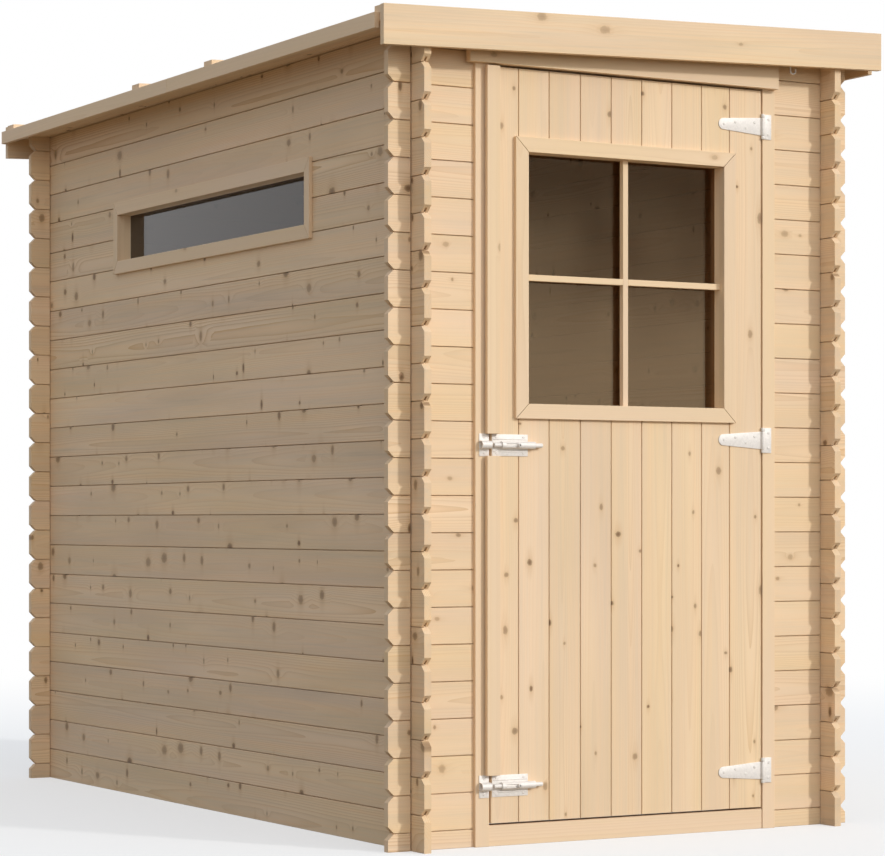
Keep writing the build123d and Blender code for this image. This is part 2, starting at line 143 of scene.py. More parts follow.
class ShedSizes(bpy.types.PropertyGroup):
    """Sizes of boards and fittings that the frame leaves open."""

    course: length("Course", "Height that one wall board covers", 0.088)
    joint_gap: length("Joint gap", "Open joint between two boards", 0.0020)
    joint_chamfer: length("Joint chamfer", "Chamfer along each joint", 0.0010)
    tongue_width: length("Tongue width", "Thickness of a board's tongue", 0.0046)
    tongue_height: length("Tongue height", "How far a tongue stands up", 0.0032)
    groove_depth: length("Groove depth", "How deep a groove is cut", 0.0100)
    groove_play: length("Groove play", "Room on each side of a tongue", 0.0004)
    end_chamfer: length("End chamfer", "Chamfer at the tips of the wall boards", 0.016)
    root_gap: length("Root gap", "Shadow gap between the board ends and the crossing wall", 0.0025)
    root_depth: length("Root depth", "How deep that gap runs", 0.0070)
    mitre_gap: length("Mitre gap", "Room at each side of a mitre", 0.0005)
    edge_round: length("Edge round", "Rounding of planed edges", 0.0009)
    roof_board: length("Roof board", "Width that one roof board covers", 0.096)
    brace_width: length("Brace width", "Width of the brace behind the door", 0.070)
    strip_relief: length("Strip relief", "Step at the back of the cover strip", 0.005)
    strip_break: length("Strip break", "Room above and below a bolt that the cover strip fills", 0.012)
    stop_depth: length("Stop depth", "Depth of the lining's inner layer in front of a pane", 0.0190)
    bar_width: length("Bar width", "Width of the bars in the door's window", 0.015)
    bar_depth: length("Bar depth", "Depth of the bars", 0.0150)
    bar_setback: length("Bar setback", "How far the bars lie behind the trim's face", 0.0194)
    bar_aside: length("Bar aside", "How far the upright bar stands right of the middle", 0.0040)
    bar_rise: length("Bar rise", "How far the level bar lies above the middle", 0.0025)
    pane_play: length("Pane play", "Room between a pane and its lining", 0.0003)
    screw_radius: length("Screw radius", "Radius of a screw's head", 0.0038)
    steel: length("Sheet steel", "Thickness of plates and straps", 0.0025)
    steel_round: length("Steel round", "Rounding of steel edges", 0.0005)
    leaf_boards: IntProperty(name="Door boards", description="Boards across the door", default=9)
    leaf_pitch: length("Door board", "Width that one door board covers", 0.0894)
    leaf_start: length("Door board start", "How far left of the middle the second board begins", 0.3213)
    fascia_hem: length("Fascia hem", "How far the right fascia hangs below its place in the frame", 0.005)


class ShedColours(bpy.types.PropertyGroup):
    """Colours of the finishes."""

    early_wood: colour("Early wood", "Pale part of the yearly rings", (0.86, 0.655, 0.445))
    late_wood: colour("Late wood", "Dark part of the yearly rings", (0.64, 0.42, 0.225))
    knot_wood: colour("Knot", "Heart of a knot", (0.135, 0.064, 0.027))
    halo_wood: colour("Knot halo", "Wood around a knot", (0.62, 0.40, 0.215))
    door_glass: colour("Door glass", "What the door's pane lets through", (0.775, 0.685, 0.61))
    door_sheen: colour("Door sheen", "What the door's pane mirrors", (1.0, 0.80, 0.54))
    side_glass: colour("Side glass", "What the side pane lets through", (0.42, 0.395, 0.375))
    side_sheen: colour("Side sheen", "What the side pane mirrors", (0.98, 0.97, 0.97))
    zinc: colour("Zinc", "Plated steel", (0.80, 0.758, 0.72))
    floor: colour("Floor", "Studio floor where it is looked at", (0.90, 0.90, 0.90))
    floor_bounce: colour("Floor bounce", "Studio floor where it lights the shed", (0.22, 0.165, 0.10))


class ShedStage(bpy.types.PropertyGroup):
    """Camera and studio light."""

    camera_place: FloatVectorProperty(
        name="Camera", description="Where the camera stands", unit="LENGTH",
        default=(-3.8845, -6.9527, 0.776),
    )
    camera_turn: angle("Turn", "How far the camera turns to the right of straight ahead", 29.96)
    focal_pixels: number("Focal length", "Focal length in pixels of the photograph", 2850.0)
    horizon_pixels: number("Horizon", "How far the horizon lies below the middle, in pixels", 92.6)
    key_turn: angle("Key turn", "Direction of the key light, to the right of the door's own", 30.0)
    key_rise: angle("Key rise", "Height of the key light above the horizon", 24.5)
    key_spread: angle("Key spread", "Apparent size of the key light", 4.0)
    key_strength: number("Key strength", "Strength of the key light", 1.46)
    soft_turn: angle("Soft turn", "Direction of the soft light, to the right of the door's own", 4.0)
    soft_rise: angle("Soft rise", "Height of the soft light above the horizon", 12.0)
    soft_spread: angle("Soft spread", "Apparent size of the soft light", 80.0)
    soft_strength: number("Soft strength", "Strength of the soft light", 1.25)
    fill_strength: number("Fill strength", "Strength of the light from all around", 0.61)


# Shader building


class Value:
    """A shader socket that takes part in arithmetic: each operation adds a Math node."""

    def __init__(self, finish, socket):
        self.finish = finish
        self.socket = socket

    def also(self, name):
        """Another output of the same node."""
        return Value(self.finish, self.socket.node.outputs[name])

    def math(self, operation, *values):
        return self.finish.node("ShaderNodeMath", {"operation": operation}, dict(enumerate(values)))

    def __add__(self, other):
        return self.math("ADD", self, other)

    __radd__ = __add__

    def __sub__(self, other):
        return self.math("SUBTRACT", self, other)

    def __rsub__(self, other):
        return self.math("SUBTRACT", other, self)

    def __mul__(self, other):
        return self.math("MULTIPLY", self, other)

    __rmul__ = __mul__

    def __truediv__(self, other):
        return self.math("DIVIDE", self, other)

    def __rtruediv__(self, other):
        return self.math("DIVIDE", other, self)

    def __pow__(self, other):
        return self.math("POWER", self, other)

    def __rpow__(self, other):
        return self.math("POWER", other, self)


class Finish:
    """The nodes of one material or world."""

    def __init__(self, owner):
        owner.use_nodes = True
        self.owner = owner
        self.tree = owner.node_tree
        self.tree.nodes.clear()

    def node(self, kind, settings=None, inputs=None, output=0):
        """A node of a kind, with its settings first and then the values or links of its sockets."""
        made = self.tree.nodes.new(kind)
        for name, value in (settings or {}).items():
            setattr(made, name, value)
        for name, value in (inputs or {}).items():
            if isinstance(value, Value):
                self.tree.links.new(value.socket, made.inputs[name])
            else:
                made.inputs[name].default_value = value
        return Value(self, made.outputs[output]) if made.outputs else made

    def mix(self, factor, first, second, blend="MIX"):
        """Two colours mixed."""
        settings = {"data_type": "RGBA", "blend_type": blend}
        return self.node("ShaderNodeMix", settings, {0: factor, 6: first, 7: second}, 2)

    def step(self, value, low, high):
        """A smooth step from 0 at low to 1 at high."""
        settings = {"interpolation_type": "SMOOTHSTEP"}
        return self.node("ShaderNodeMapRange", settings, {0: value, 1: low, 2: high})

    def noise(self, x, y, z, detail):
        """Noise about zero at a point."""
        at = self.node("ShaderNodeCombineXYZ", None, {0: x, 1: y, 2: z})
        return self.node("ShaderNodeTexNoise", None, {"Vector": at, "Scale": 1.0, "Detail": detail}) - 0.5

    def done(self, shader, output="ShaderNodeOutputMaterial"):
        """Send a shader to the output."""
        self.node(output, None, {"Surface": shader})
        return self.owner


def rgba(three):
    """A colour with full alpha."""
    return (*three, 1.0)


def wood(name, cells, knots, size, stain, squat, tail, figure, spread):
    """Planed softwood: yearly rings about a pith beside each board, streaks, fibres and knots."""
    ring_width = 0.0037
    knot_least, knot_range = 0.0030, 0.0056
    colours = bpy.context.scene.shed_colours
    finish = Finish(bpy.data.materials.new(name))
    grain = finish.node("ShaderNodeAttribute", {"attribute_name": "grain"}, None, "Vector")
    tone = finish.node("ShaderNodeAttribute", {"attribute_name": "tone"}, None, "Fac")
    end = finish.node("ShaderNodeAttribute", {"attribute_name": "end_grain"}, None, "Fac")
    along = finish.node("ShaderNodeSeparateXYZ", None, {0: grain})
    across = along.also("Y")
    depth = along.also("Z")

    flat = finish.node("ShaderNodeCombineXYZ", None, {0: along, 1: across, 2: 0.0})
    knot = finish.node(
        "ShaderNodeTexVoronoi", {"voronoi_dimensions": "2D"},
        {"Vector": flat, "Scale": cells, "Randomness": 1.0}, "Position",
    )
    middle = finish.node("ShaderNodeSeparateXYZ", None, {0: knot})
    chance = finish.node("ShaderNodeSeparateColor", None, {0: knot.also("Color")})
    slant = chance.also("Blue")
    radius = size * (knot_least + knot_range * chance * chance)
    there = chance.also("Green").math("LESS_THAN", chance.also("Green"), knots)
    wobble = 1.0 + 0.5 * finish.noise(along * 150.0, across * 150.0, 0.0, 1.0)
    beside = (along - middle) / radius
    lengthwise = beside / (squat + 0.9 * slant)
    sideways = (across - middle.also("Y")) / radius
    reach = (lengthwise ** 2.0 + sideways ** 2.0) ** 0.5 * wobble
    bulge = 2.718 ** (beside ** 2.0 * -0.06 - sideways ** 2.0 * 0.30) * there

    wander = 0.050 * finish.noise(along * 0.55, across * 1.5, 3.0, 1.0)
    sway = 0.016 * finish.noise(along * 1.1, 7.0, depth, 1.0)
    from_pith = ((across + sway) ** 2.0 + (depth + wander) ** 2.0) ** 0.5
    jitter = 0.0011 * finish.noise(along * 5.0, across * 60.0, depth * 60.0, 2.0)
    rings = (from_pith + jitter + bulge * radius * 0.6) / ring_width
    late = (rings.math("FRACT", rings)) ** 3.0
    cloud = finish.noise(along * 1.4, across * 12.0, depth * 12.0, 2.0)
    lively = tone * 17.0
    lively = (0.3 + 1.2 * lively.math("FRACT", lively)) * (1.0 + 4.0 * cloud)

    streak = finish.noise(along * 0.8, across * 40.0, depth * 40.0, 3.0)
    thread = finish.noise(along * 4.0, across * 190.0, depth * 190.0, 2.0)
    fibre = finish.noise(along * 22.0, across * 620.0, depth * 620.0, 2.0)
    blush = finish.noise(along * 1.1, across * 10.0 + 9.0, depth * 10.0, 1.0)
    lines = late * lively * 0.52 + streak * 1.3 + thread * 1.2 + fibre * 0.3
    dark = figure * (lines + 0.17) + 0.02 + end * 0.08
    dark = dark.math("MAXIMUM", dark, 0.0)

    base = finish.mix(dark, rgba(colours.early_wood), rgba(colours.late_wood))
    level = 0.97 - 0.5 * spread + spread * tone + figure * (0.52 * cloud + 0.56 * streak + 0.46 * thread)
    value = finish.node(
        "ShaderNodeCombineColor", None,
        {0: level, 1: level, 2: level * (1.0 + 0.22 * blush)},
    )
    base = finish.mix(1.0, base, value, "MULTIPLY")
    depth_of_knot = stain * (0.55 + 0.45 * chance.also("Green") / knots)
    smear = ((lengthwise * tail[0]) ** 2.0 + (sideways * tail[1]) ** 2.0) ** 0.5
    halo = finish.step(reach, 2.6, 0.8) * there
    smear = finish.step(smear, 2.0, 0.3) * there
    heart = finish.step(reach, 1.3, 0.4) * there
    rim = finish.step(reach, 1.4, 1.0) * finish.step(reach, 0.5, 0.95) * there
    base = finish.mix(halo * 0.30, base, rgba(colours.halo_wood))
    base = finish.mix(smear * depth_of_knot * 0.42, base, rgba(colours.halo_wood))
    base = finish.mix(heart * depth_of_knot * 0.94, base, rgba(colours.knot_wood))
    base = finish.mix(rim * depth_of_knot * 0.45, base, rgba(colours.knot_wood))

    height = late * 0.5 + fibre * 0.5 - heart * 0.6
    bump = finish.node("ShaderNodeBump", None, {"Strength": 0.25, "Distance": 0.0006, "Height": height})
    rough = 0.60 + streak * 0.12 - heart * 0.12
    shader = finish.node(
        "ShaderNodeBsdfPrincipled", None,
        {"Base Color": base, "Roughness": rough, "Specular IOR Level": 0.16, "Normal": bump},
    )
    return finish.done(shader)


def glass(name, tint, sheen, least, most, low, high):
    """A pane that mirrors more at grazing angles and more towards its foot: a painted reflection that
    pales its lower part.
    """
    finish = Finish(bpy.data.materials.new(name))
    facing = finish.node("ShaderNodeLayerWeight", None, {"Blend": 0.5}, "Facing")
    place = finish.node("ShaderNodeTexCoord", None, None, "Object")
    rise = finish.node("ShaderNodeSeparateXYZ", None, {0: place}).also("Z")
    waves = finish.node("ShaderNodeTexNoise", None, {"Vector": place, "Scale": 5.0, "Detail": 1.0})
    bump = finish.node("ShaderNodeBump", None, {"Strength": 0.08, "Distance": 0.002, "Height": waves})
    gloss = {"Color": rgba(sheen), "Roughness": 0.02, "Normal": bump}
    mirror = finish.node("ShaderNodeBsdfGlossy", None, gloss)
    clear = finish.node("ShaderNodeBsdfTransparent", None, {"Color": rgba(tint)})
    # Painted reflection: the mirror's share grows from least at the pane's top to most at its foot.
    painted_reflection = finish.step(rise + 0.3 * (waves - 0.5), high, low)
    share = least + (most - least) * painted_reflection + 1.6 * facing ** 5.0
    share = share.math("MINIMUM", share, 0.95)
    shader = finish.node("ShaderNodeMixShader", None, {0: share, 1: clear, 2: mirror})
    return finish.done(shader)


def side_pane(name):
    """The side window's pane, neutral and even."""
    colours = bpy.context.scene.shed_colours
    low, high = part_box("side_window_glass")
    return glass(name, colours.side_glass, colours.side_sheen, 0.024, 0.024, low.z, high.z)


def door_pane(name):
    """The door's pane, warm, with a painted reflection that grows towards its foot and makes it paler
    there.
    """
    colours = bpy.context.scene.shed_colours
    low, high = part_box("door_window_glass")
    return glass(name, colours.door_glass, colours.door_sheen, 0.012, 0.055, low.z, high.z)


def plated_steel(name):
    """Bright plated steel with a faint spangle."""
    colours = bpy.context.scene.shed_colours
    finish = Finish(bpy.data.materials.new(name))
    place = finish.node("ShaderNodeTexCoord", None, None, "Object")
    spangle = finish.node("ShaderNodeTexVoronoi", None, {"Vector": place, "Scale": 260.0}, "Color")
    grey = finish.node("ShaderNodeSeparateColor", None, {0: spangle})
    wear = finish.node("ShaderNodeTexNoise", None, {"Vector": place, "Scale": 85.0, "Detail": 3.0})
    level = 0.93 + 0.09 * grey + 0.10 * (wear - 0.5)
    value = finish.node("ShaderNodeCombineColor", None, {0: level, 1: level, 2: level})
    base = finish.mix(1.0, rgba(colours.zinc), value, "MULTIPLY")
    bump = finish.node("ShaderNodeBump", None, {"Strength": 0.1, "Distance": 0.0003, "Height": wear})
    shader = finish.node(
        "ShaderNodeBsdfPrincipled", None,
        {"Base Color": base, "Metallic": 0.12, "Roughness": 0.44 + 0.16 * wear, "Normal": bump},
    )
    return finish.done(shader)


# For each wood: cells for knots in a metre, share of cells that hold one, size and stain of knots, how
# squat they are, their tails along and across, strength of the figure, spread of tone between boards
WOODS = {
    "wall_boards": (8.5, 0.70, 1.4, 0.95, 0.42, (0.75, 0.34), 0.74, 0.10),
    "front_boards": (7.5, 0.50, 1.0, 0.62, 0.7, (0.30, 0.7), 0.46, 0.05),
    "trim_boards": (5.0, 0.12, 0.8, 0.5, 0.9, (0.30, 0.7), 0.22, 0.04),
    "fascia_boards": (5.5, 0.70, 1.1, 0.6, 0.9, (0.28, 0.7), 0.74, 0.03),
    "roof_boards": (8.0, 0.72, 1.2, 0.95, 0.6, (0.6, 0.5), 0.60, 0.10),
    "door_boards": (7.5, 0.75, 0.92, 0.86, 0.75, (0.26, 0.7), 0.48, 0.06),
}
OTHER_FINISHES = {"side_window_glass": side_pane, "door_window_glass": door_pane, "zinc": plated_steel}

# Nodes with a finish of their own within their slot
OWN_FINISH = {
    "front_wall_left": "front_boards",
    "front_wall_right": "front_boards",
    "front_wall_over_door": "front_boards",
    "front_fascia": "fascia_boards",
    "back_fascia": "fascia_boards",
    "right_fascia": "fascia_boards",
    "side_window_glass": "side_window_glass",
    "door_window_glass": "door_window_glass",
}


def finish_for(name):
    """A finish, made when it is first asked for."""
    title = "shed_" + name
    made = bpy.data.materials.get(title)
    if made:
        return made
    return wood(title, *WOODS[name]) if name in WOODS else OTHER_FINISHES[name](title)


# Mesh building


def new_mesh():
    """An empty mesh with the layers that the wood finish reads."""
    bm = bmesh.new()
    bm.verts.layers.float_vector.new("grain")
    bm.verts.layers.float.new("tone")
    bm.faces.layers.float.new("end_grain")
    return bm


def finished(bm, name):
    """A mesh from one in the making, which is used up."""
    mesh = bpy.data.meshes.new(name)
    bm.to_mesh(mesh)
    bm.free()
    return mesh


def put(name, data):
    """An object in the scene."""
    made = bpy.data.objects.new(name, data)
    bpy.context.scene.collection.objects.link(made)
    return made


def repaint(node, finish):
    """Give a node of the frame another finish."""
    materials = frame["nodes"][node].data.materials
    materials.clear()
    materials.append(finish_for(finish))


def whole(bm):
    """Every part of a mesh."""
    return bm.verts[:] + bm.edges[:] + bm.faces[:]


def rounded(bm, edges, offset, segments=2):
    """Round some edges of a mesh."""
    bmesh.ops.bevel(
        bm, geom=edges, offset=offset, segments=segments, profile=ROUND_SHARE, affect="EDGES",
        material=KEEP_MATERIAL, clamp_overlap=True,
    )


def picked(made, kind):
    """The parts of one kind in what an operation made."""
    return [part for part in made["geom"] if isinstance(part, kind)]


def sharp_edges(bm):
    """Edges where two faces meet at a clear angle."""
    bm.normal_update()
    return [e for e in bm.edges if e.is_manifold and e.calc_face_angle() > CLEAR_ANGLE]


def block(low, high, offset):
    """A box with rounded edges between two corners."""
    bm = new_mesh()
    place = Matrix.Translation((low + high) / 2) @ Matrix.Diagonal((*(high - low), 1.0))
    bmesh.ops.create_cube(bm, size=1.0, matrix=place)
    rounded(bm, bm.edges[:], offset)
    return bm


def prism(points, first, second, start, end):
    """An outline on two axes, carried along the third."""
    along = 3 - first - second
    bm = new_mesh()
    foot = AXES[along] * start
    rim = [bm.verts.new(foot + AXES[first] * a + AXES[second] * b) for a, b in points]
    made = bmesh.ops.extrude_face_region(bm, geom=[bm.faces.new(rim)])
    bmesh.ops.translate(bm, vec=AXES[along] * (end - start), verts=picked(made, bmesh.types.BMVert))
    bmesh.ops.recalc_face_normals(bm, faces=bm.faces)
    return bm


def tube(middle, axis, radius, depth, segments, closed=False):
    """The skin of a round bar along an axis."""
    bm = new_mesh()
    place = Matrix.Translation(middle) @ AXES[axis].to_track_quat("Z", "Y").to_matrix().to_4x4()
    bmesh.ops.create_cone(
        bm, cap_ends=closed, segments=segments, radius1=radius, radius2=radius, depth=depth, matrix=place
    )
    return bm


def cylinder(middle, axis, radius, depth, offset, segments=24):
    """A round bar with rounded rims."""
    bm = tube(middle, axis, radius, depth, segments, True)
    rounded(bm, sharp_edges(bm), offset)
    return bm


def matched_board(low, high, along, across, tongue, groove, stub=False):
    """A board with chamfered joints, and a tongue, a groove or a stub where it meets its neighbours."""
    sizes = bpy.context.scene.shed_sizes
    thick = 3 - along - across
    front, back = low[thick], high[thick]
    foot, top = low[across], high[across] - (sizes.joint_gap if tongue else 0)
    heel = foot + (sizes.joint_gap if stub else 0)
    nip, middle = sizes.joint_chamfer, (front + back) / 2
    left, right = middle - sizes.tongue_width / 2, middle + sizes.tongue_width / 2
    play = sizes.groove_play
    points = [(front, heel + nip), (front, top - nip), (front + nip, top)]
    if tongue:
        tip = top + sizes.tongue_height
        points += [(left, top), (left, tip), (right, tip), (right, top)]
    points += [(back - nip, top), (back, top - nip), (back, heel + nip), (back - nip, heel)]
    if stub:
        points += [(right, heel), (right, foot), (left, foot), (left, heel)]
    if groove:
        root = foot + sizes.groove_depth
        points += [(right + play, foot), (right + play, root), (left - play, root), (left - play, foot)]
    points.append((front + nip, heel))
    return prism(points, thick, across, low[along], high[along])


def cut(bm, point, normal):
    """Take away what lies beyond a plane and close the cut."""
    bmesh.ops.bisect_plane(bm, geom=whole(bm), plane_co=point, plane_no=normal, clear_outer=True)
    bmesh.ops.holes_fill(bm, edges=[e for e in bm.edges if e.is_boundary])


def cut_to_roof(bm):
    """Take away what would stand through the roof."""
    cut(bm, LEFT_TOP, ROOF_NORMAL)


def lean(bm):
    """Carry a level piece up the slope of the roof."""
    slope = Matrix.Identity(4)
    slope[2][0] = ROOF_SLOPE
    bmesh.ops.transform(bm, matrix=slope, verts=bm.verts)


def levelled(low, high):
    """The corners that a piece on the roof's slope has before it leans."""
    return low - AXES[2] * ROOF_SLOPE * low.x, high - AXES[2] * ROOF_SLOPE * high.x


def mark(bm, key, along, across, middle, turn=None):
    """Give a board its own grain coordinates and tone, and mark its end faces."""
    draw = random.Random(key)
    stock_length, pith_aside, pith_near, pith_far = 60.0, 0.030, 0.020, 0.075
    pith = Vector((
        draw.uniform(0, stock_length),
        draw.uniform(-pith_aside, pith_aside),
        draw.choice((-1, 1)) * draw.uniform(pith_near, pith_far),
    ))
    tone_value = draw.random()
    thick = 3 - along - across
    grain, tone = bm.verts.layers.float_vector["grain"], bm.verts.layers.float["tone"]
    end = bm.faces.layers.float["end_grain"]
    turn = turn or Matrix.Identity(3)
    for vert in bm.verts:
        at = turn @ (vert.co - middle)
        run = at[along] + (0 if turn != Matrix.Identity(3) else middle[along])
        vert[grain] = Vector((run, at[across], at[thick])) + pith
        vert[tone] = tone_value
    bm.normal_update()
    for face in bm.faces:
        face[end] = float(abs((turn @ face.normal)[along]) > END_FACING)


class Piece:
    """One piece in the making: boards or plates gathered in one mesh."""

    def __init__(self):
        self.bm = new_mesh()

    def add(self, bm):
        """Take in a finished part."""
        mesh = finished(bm, "part")
        self.bm.from_mesh(mesh)
        bpy.data.meshes.remove(mesh)

    def place(self, name, body, slot, nodes=(), smooth=False):
        """Make the object, give it its finish and let it ride on its body."""
        mesh = finished(self.bm, name)
        if smooth:
            mesh.shade_smooth()
            mesh.set_sharp_from_angle(angle=SMOOTH_ANGLE)
        finish = OWN_FINISH.get(nodes[0], slot) if nodes else slot
        mesh.materials.append(finish_for(finish))
        piece = put(name, mesh)
        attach(piece, body)
        if nodes:
            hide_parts(*nodes)
        return piece

    def stand_for(self, node, smooth=False):
        """Place this piece where a node of the frame is."""
        kind = "steel" if SLOTS[node] == "zinc" else "timber"
        return self.place(f"{node}_{kind}", frame["nodes"][node]["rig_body"], SLOTS[node], (node,), smooth)


def solids(node):
    """Low and high corners of each solid of a node, in a fixed order."""
    bm = bmesh.new()
    bm.from_mesh(frame["nodes"][node].data)
    bmesh.ops.remove_doubles(bm, verts=bm.verts, dist=WELD)
    left, boxes = set(bm.verts), []
    while left:
        waiting, found = [left.pop()], []
        while waiting:
            vert = waiting.pop()
            found.append(vert.co.copy())
            fresh = {e.other_vert(vert) for e in vert.link_edges} & left
            left -= fresh
            waiting.extend(fresh)
        low = Vector(min(p[i] for p in found) for i in range(3))
        high = Vector(max(p[i] for p in found) for i in range(3))
        boxes.append((low, high))
    bm.free()
    return sorted(boxes, key=lambda box: [round(c, 4) for c in box[0]])


def by_size(low, high):
    """The axes of a box, the longest first."""
    size = high - low
    return sorted(range(3), key=lambda axis: -size[axis])


def by_level(node):
    """The solids of a node, the lowest first."""
    return sorted(solids(node), key=lambda box: box[0].z)


def joint_named(name):
    """A joint of the frame."""
    return next(joint for joint in frame["joints"] if joint["name"] == name)


def levels(node):
    """Lowest and highest level of each group of solids of a node that overlap in height."""
    ranges = []
    for low, high in by_level(node):
        if ranges and low.z < ranges[-1][1]:
            ranges[-1] = (ranges[-1][0], max(ranges[-1][1], high.z))
        else:
            ranges.append((low.z, high.z))
    return ranges


def plain_boards(node, sloped=False, under_roof=False, hem=0.0):
    """Boards with rounded edges in place of the solids of a node."""
    piece = Piece()
    for index, (low, high) in enumerate(solids(node)):
        if sloped:
            low, high = levelled(low, high)
        low.z -= hem
        along, across, _ = by_size(low, high)
        board = block(low, high, bpy.context.scene.shed_sizes.edge_round)
        if under_roof:
            cut_to_roof(board)
        mark(board, f"{node} {index}", along, across, (low + high) / 2)
        if sloped:
            lean(board)
        piece.add(board)
    return piece.stand_for(node)


def wall_courses(low, high, wall):
    """Number, foot and top of each board of a wall between two corners."""
    course = bpy.context.scene.shed_sizes.course
    foot = 0.0 if wall in SIDE_WALLS else -course / 2
    index = 0
    while foot < high.z - NEAR:
        if foot + course > low.z + NEAR:
            yield index, foot, foot + course
        foot += course
        index += 1


def wall_board(low, high, along, foot, top):
    """One wall board, cut to its stretch, with the joints that it has there."""
    seat = max(foot, low.z)
    crown = min(top, high.z)
    tongue = top < high.z - NEAR
    groove = foot > low.z + NEAR
    stub = foot > NEAR and abs(foot - low.z) < NEAR
    return matched_board(
        Vector((low.x, low.y, seat)), Vector((high.x, high.y, crown)), along, 2, tongue, groove, stub
    )


def mark_wall_board(board, low, high, wall, along, index, foot, top):
    """Grain that runs on from stretch to stretch of the same board."""
    middle = (low + high) / 2
    middle[along] = 0.0
    middle.z = (foot + top) / 2
    mark(board, f"{wall} wall {index}", along, 2, middle)


# Operators, one for each group of like pieces


class SHED_OT_walls(bpy.types.Operator):
    """Lay the boards of the four walls"""

    bl_idname = "shed.walls"
    bl_label = "Walls"

    def execute(self, context):
        for node, (wall, along) in WALLS.items():
            low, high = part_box(node)
            piece = Piece()
            for index, foot, top in wall_courses(low, high, wall):
                board = wall_board(low, high, along, foot, top)
                cut_to_roof(board)
                mark_wall_board(board, low, high, wall, along, index, foot, top)
                piece.add(board)
            piece.stand_for(node)
        return {"FINISHED"}


class SHED_OT_log_ends(bpy.types.Operator):
    """Let the wall boards run on past the corners, with chamfered tips"""

    bl_idname = "shed.log_ends"
    bl_label = "Board ends"

    def free_root(self, board, low, high, along, outward):
        """Cut both edges at the root back, so that a narrow shadow gap shows at the crossing wall."""
        sizes = bpy.context.scene.shed_sizes
        aside = 1 - along
        root = AXES[along] * ((low if outward > 0 else high)[along] + outward * sizes.root_gap)
        for side, face in ((-1, low[aside]), (1, high[aside])):
            normal = AXES[aside] * side * sizes.root_gap - AXES[along] * outward * sizes.root_depth
            cut(board, root + AXES[aside] * face, normal)

    def execute(self, context):
        nip = context.scene.shed_sizes.end_chamfer
        for node, (wall, along) in LOG_ENDS.items():
            piece = Piece()
            for low, high in solids(node):
                outward = 1 if (low + high)[along] > 0 else -1
                tip = AXES[along] * (high if outward > 0 else low)[along]
                for index, foot, top in wall_courses(low, high, wall):
                    board = wall_board(low, high, along, foot, top)
                    if top < high.z - NEAR:
                        cut(board, tip + AXES[2] * (top - nip), AXES[along] * outward + AXES[2])
                    if foot > low.z + NEAR:
                        cut(board, tip + AXES[2] * (foot + nip), AXES[along] * outward - AXES[2])
                    self.free_root(board, low, high, along, outward)
                    cut_to_roof(board)
                    mark_wall_board(board, low, high, wall, along, index, foot, top)
                    piece.add(board)
            piece.stand_for(node)
        return {"FINISHED"}


class SHED_OT_roof(bpy.types.Operator):
    """Lay the roof boards, their battens and the boards along the edges"""

    bl_idname = "shed.roof"
    bl_label = "Roof"

    def execute(self, context):
        for node in ("roof_panel_front", "roof_panel_rear"):
            low, high = levelled(*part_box(node))
            count = round((high.x - low.x) / context.scene.shed_sizes.roof_board)
            piece = Piece()
            for index in range(count):
                left = low.lerp(high, index / count).x
                right = low.lerp(high, (index + 1) / count).x
                ends = Vector((left, low.y, low.z)), Vector((right, high.y, high.z))
                board = matched_board(*ends, 1, 0, index < count - 1, index > 0)
                mark(board, f"{node} {index}", 1, 0, (ends[0] + ends[1]) / 2)
                lean(board)
                piece.add(board)
            piece.stand_for(node)
        for node in ("roof_battens", "front_fascia", "back_fascia"):
            plain_boards(node, sloped=True)
        plain_boards("left_eave_trim")
        plain_boards("right_fascia", hem=context.scene.shed_sizes.fascia_hem)
        return {"FINISHED"}


class SHED_OT_doorway(bpy.types.Operator):
    """Set the posts, the header and the threshold"""

    bl_idname = "shed.doorway"
    bl_label = "Doorway"

    def execute(self, context):
        for node in ("door_post_left", "door_post_right"):
            plain_boards(node, under_roof=True)
        for node in ("door_header", "door_threshold"):
            plain_boards(node)
        return {"FINISHED"}


